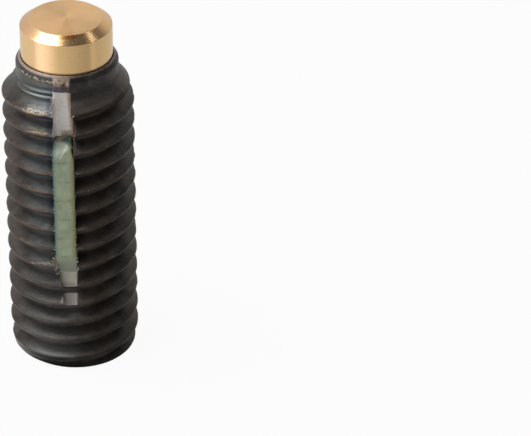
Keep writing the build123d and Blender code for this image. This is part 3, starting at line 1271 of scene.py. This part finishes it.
def makeBurr(s, thread, material):
    # a thin closed sheet that rises from the crest and grows towards the groove
    columns, rows = s["columns"], s["rows"]
    points = []
    for depth in (0, s["thickness"]):
        for i in range(columns + 1):
            part = i / columns
            bearing = s["from"] + (s["to"] - s["from"]) * part
            foot = crestHeightAt(thread, 270 + bearing) + s["crest"] - s["root"]
            ragged = noise.noise(Vector((i * 0.45, 3.0, 0.0))) * s["ragged"] * part
            high = s["rise"] * part ** s["growth"] + ragged + s["least"] + s["root"]
            for j in range(rows + 1):
                wave = noise.noise(Vector((i * 0.5, j * 0.6, 8.0))) * s["wave"] * min(1, j / 2)
                radius = s["radius"] + wave - depth * (1 - 0.5 * j / rows)
                points.append(aroundAxis(radius, bearing, foot + high * j / rows))
    count, line = (columns + 1) * (rows + 1), rows + 1
    faces = []
    for i in range(columns):
        for j in range(rows):
            a = i * line + j
            faces += [(a, a + 1, a + line + 1, a + line),
                      (count + a, count + a + line, count + a + line + 1, count + a + 1)]
        low, high = i * line, i * line + rows
        faces += [(low, low + line, count + low + line, count + low),
                  (high, count + high, count + high + line, high + line)]
    for j in range(rows):
        for a in (j, columns * line + j):
            faces.append((a, a + 1, count + a + 1, count + a))
    burr = meshObject("cutterBurr", points, faces)
    burr.data.materials.append(material)
    finishShading(burr, 60)
    return burr


def burrLines(s, thread, half):
    # short lines along the crests, from the groove's edges outwards
    lines = []
    out = crestRadius / mm - s["sunk"]
    highest = rimHeight / mm - thread["crimpHeight"] - thread["neckHeight"] - s["belowNeck"]
    for turn in s["turns"]:
        for side in (-1, 1):
            z = crestHeightAt(thread, 270 + side * s["edgeBearing"]) + turn - 1
            reach = s["longReach"] if side > 0 and turn in s["longTurns"] else s["burrReach"]
            far = half + reach
            climb = side * reach * s["crestClimb"]
            if z < highest:
                lines.append([(side * (half + s["sunk"]), -math.sqrt(out ** 2 - half ** 2), z - 0.03),
                              (side * far, -math.sqrt(out ** 2 - far ** 2), z + climb)])
    return lines


def raised(line, height):
    return [(x, y, z + height) for x, y, z in line]


def makeLumps(s, where, thread):
    steel = makeFlecks("wornSteel", tone(150, 132, 116), tone(196, 186, 176), 0.9)
    cream = makeFlecks("creamFlecks", tone(184, 168, 142), tone(240, 232, 214), 0.0)
    torn = makeFlecks("tornSteel", tone(86, 82, 75), tone(164, 160, 146), 0.5)
    flakes = makeFlecks("plasticFlakes", tone(176, 178, 150), tone(214, 218, 206), 0.0)
    top, foot = stripHigh.z / mm, stripLow.z / mm
    ends = where["flakes"]
    edges = [[(side * ends["x"], ends["y"], z) for z in (foot + ends["aboveFoot"], top - ends["belowTop"])]
             for side in (-1, 1)]
    scraps = [raised(where["footScraps"], foot), raised(where["topScraps"], top)]
    scrapings = [raised(where["scrapings"], foot)]
    beads = [where["rimBeads"], raised(where["footBeads"], foot)]
    bevelRadius = thread["neckRadius"] - thread["crimpFoot"][0][0]
    bevelHeight = rimHeight / mm - thread["crimpHeight"] + where["fleckHeight"]
    sparse, dense = ([[aroundAxis(bevelRadius, bearing, bevelHeight) for bearing in where[name]]]
                     for name in ("sparse", "dense"))
    burrs = burrLines(where, thread, grooveSettings["width"] / 2)
    yield makeBurr(burrSettings, thread, torn), "blackened_steel"
    for name, lines, material, slot in (
            ("crestBurrs", burrs, steel, "blackened_steel"),
            ("scrapings", scrapings, torn, "blackened_steel"),
            ("edgeBeads", beads, cream, "blackened_steel"),
            ("sparseFlecks", sparse, cream, "blackened_steel"),
            ("stripFlakes", edges, flakes, "strip_plastic"),
            ("scrapedEnd", scraps, flakes, "strip_plastic"),
            ("bevelFlecks", dense, cream, "blackened_steel")):
        yield scatterAlong(name, lines, material, s[name]), slot


for piece, slot in makeLumps(lumpSettings, lumpPlaces, bodySettings):
    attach(piece, "root")
    report(piece)

for piece, node, slot in ((threadedBody, "threaded_body", "blackened_steel"),
                          (pressureTip, "pressure_tip", "tip_brass"),
                          (lockingStrip, "locking_strip", "strip_plastic")):
    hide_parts(node)
    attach(piece, "root")


# Floor, light and camera

def lightPath(tree, *kinds):
    # 1 for any of the named kinds of ray
    outputs = place(tree, "ShaderNodeLightPath").outputs
    total = Wire(outputs[kinds[0]])
    for kind in kinds[1:]:
        total = calc("MAXIMUM", total, Wire(outputs[kind]))
    return total


floorSettings = {"side": 1000, "gap": 0.01, "colour": (0.82, 0.82, 0.82, 1), "roughness": 0.9,
                 "specular": 0.1, "whiteForCamera": 0.94, "whiteForGloss": 0.6}
# how bright metal sees the floor round the screw: degrees from the front, rightwards, and strength
floorRing = [(-180, 0.80), (-126, 0.85), (-80, 0.95), (-70, 1.58), (-60, 1.72), (-41, 1.40),
             (-15, 0.72), (0, 0.62), (24, 0.47), (50, 0.33), (61, 0.31), (68, 0.62), (76, 0.62),
             (84, 0.47), (98, 0.54), (130, 0.60), (180, 0.80)]


def makeFloor(s):
    # a hair below the drive end, and clear from underneath, where the socket can then be seen
    side, low = s["side"], -s["gap"]
    floor = meshObject("floor", [(-side, -side, low), (side, -side, low), (side, side, low),
                                 (-side, side, low)], faces=[(0, 1, 2, 3)])
    material, inputs, position = newMaterial("paleFloor")
    tree = material.node_tree
    inputs["Base Color"].default_value = s["colour"]
    inputs["Roughness"].default_value = s["roughness"]
    inputs["Specular IOR Level"].default_value = s["specular"]
    # metal sees a floor that is bright on the window's side and dim to the right
    ground = place(tree, "ShaderNodeSeparateXYZ", {"Vector": position}).outputs
    bearing = calc("DEGREES", calc("ARCTAN2", Wire(ground["X"]), Wire(ground["Y"]) * -1))
    brightest = max(strength for angle, strength in floorRing)
    ring = place(tree, "ShaderNodeValToRGB", {"Fac": place(tree, "ShaderNodeMapRange", {
        "Value": bearing, "From Min": -180.0, "From Max": 180.0}).outputs[0]})
    stops = ring.color_ramp.elements
    while len(stops) < len(floorRing):
        stops.new(0.5)
    for stop, (angle, strength) in zip(stops, floorRing):
        stop.position = (angle + 180) / 360
        level = strength / brightest
        stop.color = (level, level, level, 1)
    sweep = Wire(ring.outputs["Color"]) * brightest
    seen = lightPath(tree, "Is Camera Ray")
    glow = place(tree, "ShaderNodeEmission", {"Color": (1, 1, 1, 1),
                                              "Strength": blendValue(seen, sweep, 1.0)})
    gloss = lightPath(tree, "Is Glossy Ray", "Is Transmission Ray") * s["whiteForGloss"]
    white = calc("MAXIMUM", seen * s["whiteForCamera"], gloss)
    mixed = place(tree, "ShaderNodeMixShader", {
        0: white, 1: tree.nodes["Principled BSDF"].outputs[0], 2: glow.outputs[0]})
    clear = place(tree, "ShaderNodeMixShader", {
        0: place(tree, "ShaderNodeNewGeometry").outputs["Backfacing"], 1: mixed.outputs[0],
        2: place(tree, "ShaderNodeBsdfTransparent").outputs[0]})
    plug(tree.nodes["Material Output"].inputs["Surface"], clear.outputs[0])
    floor.data.materials.append(material)


makeFloor(floorSettings)


# The room: bright on the left, dim on the right and above the camera, and white where it is seen

worldSettings = {"dim": 0.125, "bright": 0.92, "leftFrom": (0.12, -0.32), "back": 0.74,
                 "backFrom": (0.30, 0.80), "backShare": 0.85, "strength": 1.0}


def makeWorld(s):
    world = bpy.data.worlds.new("studio")
    world.use_nodes = True
    tree = world.node_tree
    direction = place(tree, "ShaderNodeTexCoord").outputs["Generated"]
    parts = place(tree, "ShaderNodeSeparateXYZ", {"Vector": direction}).outputs
    base = blendValue(rise(Wire(parts["X"]), *s["leftFrom"]), s["dim"], s["bright"])
    behind = rise(Wire(parts["Y"]), *s["backFrom"]) * s["backShare"]
    value = blendValue(behind, base, s["back"])
    value = blendValue(lightPath(tree, "Is Camera Ray", "Is Transmission Ray"), value, 1.0)
    background = tree.nodes["Background"]
    plug(background.inputs["Color"], place(tree, "ShaderNodeCombineXYZ", {
        "X": value, "Y": value, "Z": value}).outputs[0])
    background.inputs["Strength"].default_value = s["strength"]
    scene.world = world


makeWorld(worldSettings)


# where each lamp lies from the rim and which way its length runs, its distance and size in mm,
# and its power in watts
lampSettings = {
    "leftSoftbox": {"towards": (-0.43, -0.05, 0.90), "along": (0.43, -0.30, 0.18),
                    "distance": 100, "size": (62, 40), "power": 0.0345},
    "rightStrip": {"towards": (0.5735, 0.10, 0.81), "along": (0.43, 0.30, -0.18),
                   "distance": 90, "size": (7, 40), "power": 0.0022},
}


def makeLamp(name, s):
    data = bpy.data.lights.new(name, "AREA")
    data.shape = "RECTANGLE"
    data.size, data.size_y = (part * mm for part in s["size"])
    data.energy = s["power"]
    lamp = bpy.data.objects.new(name, data)
    scene.collection.objects.link(lamp)
    towards = Vector(s["towards"]).normalized()
    across = Vector(s["along"]).cross(towards).normalized()
    lamp.location = Vector((0, 0, rimHeight)) + towards * s["distance"] * mm
    lamp.rotation_mode = "QUATERNION"
    along = across.cross(towards) * -1
    lamp.rotation_quaternion = Matrix((along, towards.cross(along), towards)).transposed().to_quaternion()


for lampName, lampValues in lampSettings.items():
    makeLamp(lampName, lampValues)
print("floor, room and lamps: done")


cameraSettings = {
    "azimuth": 1.7,
    "elevation": 32.63,
    "roll": 0.52,
    "focalLength": 211.19,
    "aside": -8.9875,
    "below": 5.4643,
    "distance": 147.297,
}


def makeCamera(s):
    azimuth, elevation = math.radians(s["azimuth"]), math.radians(s["elevation"])
    right = Vector((math.cos(azimuth), math.sin(azimuth), 0))
    forward = Vector((-math.sin(azimuth) * math.cos(elevation),
                      math.cos(azimuth) * math.cos(elevation), -math.sin(elevation)))
    roll = Quaternion(forward, math.radians(-s["roll"]))
    right = roll @ right
    up = right.cross(forward)
    data = bpy.data.cameras.new("camera")
    data.lens = s["focalLength"]
    data.sensor_width = 36
    data.clip_start = 0.01
    data.clip_end = 10
    camera = bpy.data.objects.new("camera", data)
    scene.collection.objects.link(camera)
    # the centre of the drive end lies this far aside, below and in front of the lens
    camera.location = -(right * s["aside"] - up * s["below"] + forward * s["distance"]) * mm
    camera.rotation_mode = "QUATERNION"
    camera.rotation_quaternion = Matrix((right, up, -forward)).transposed().to_quaternion()
    scene.camera = camera


makeCamera(cameraSettings)
print("camera: done")
scene.view_settings.view_transform = "Standard"
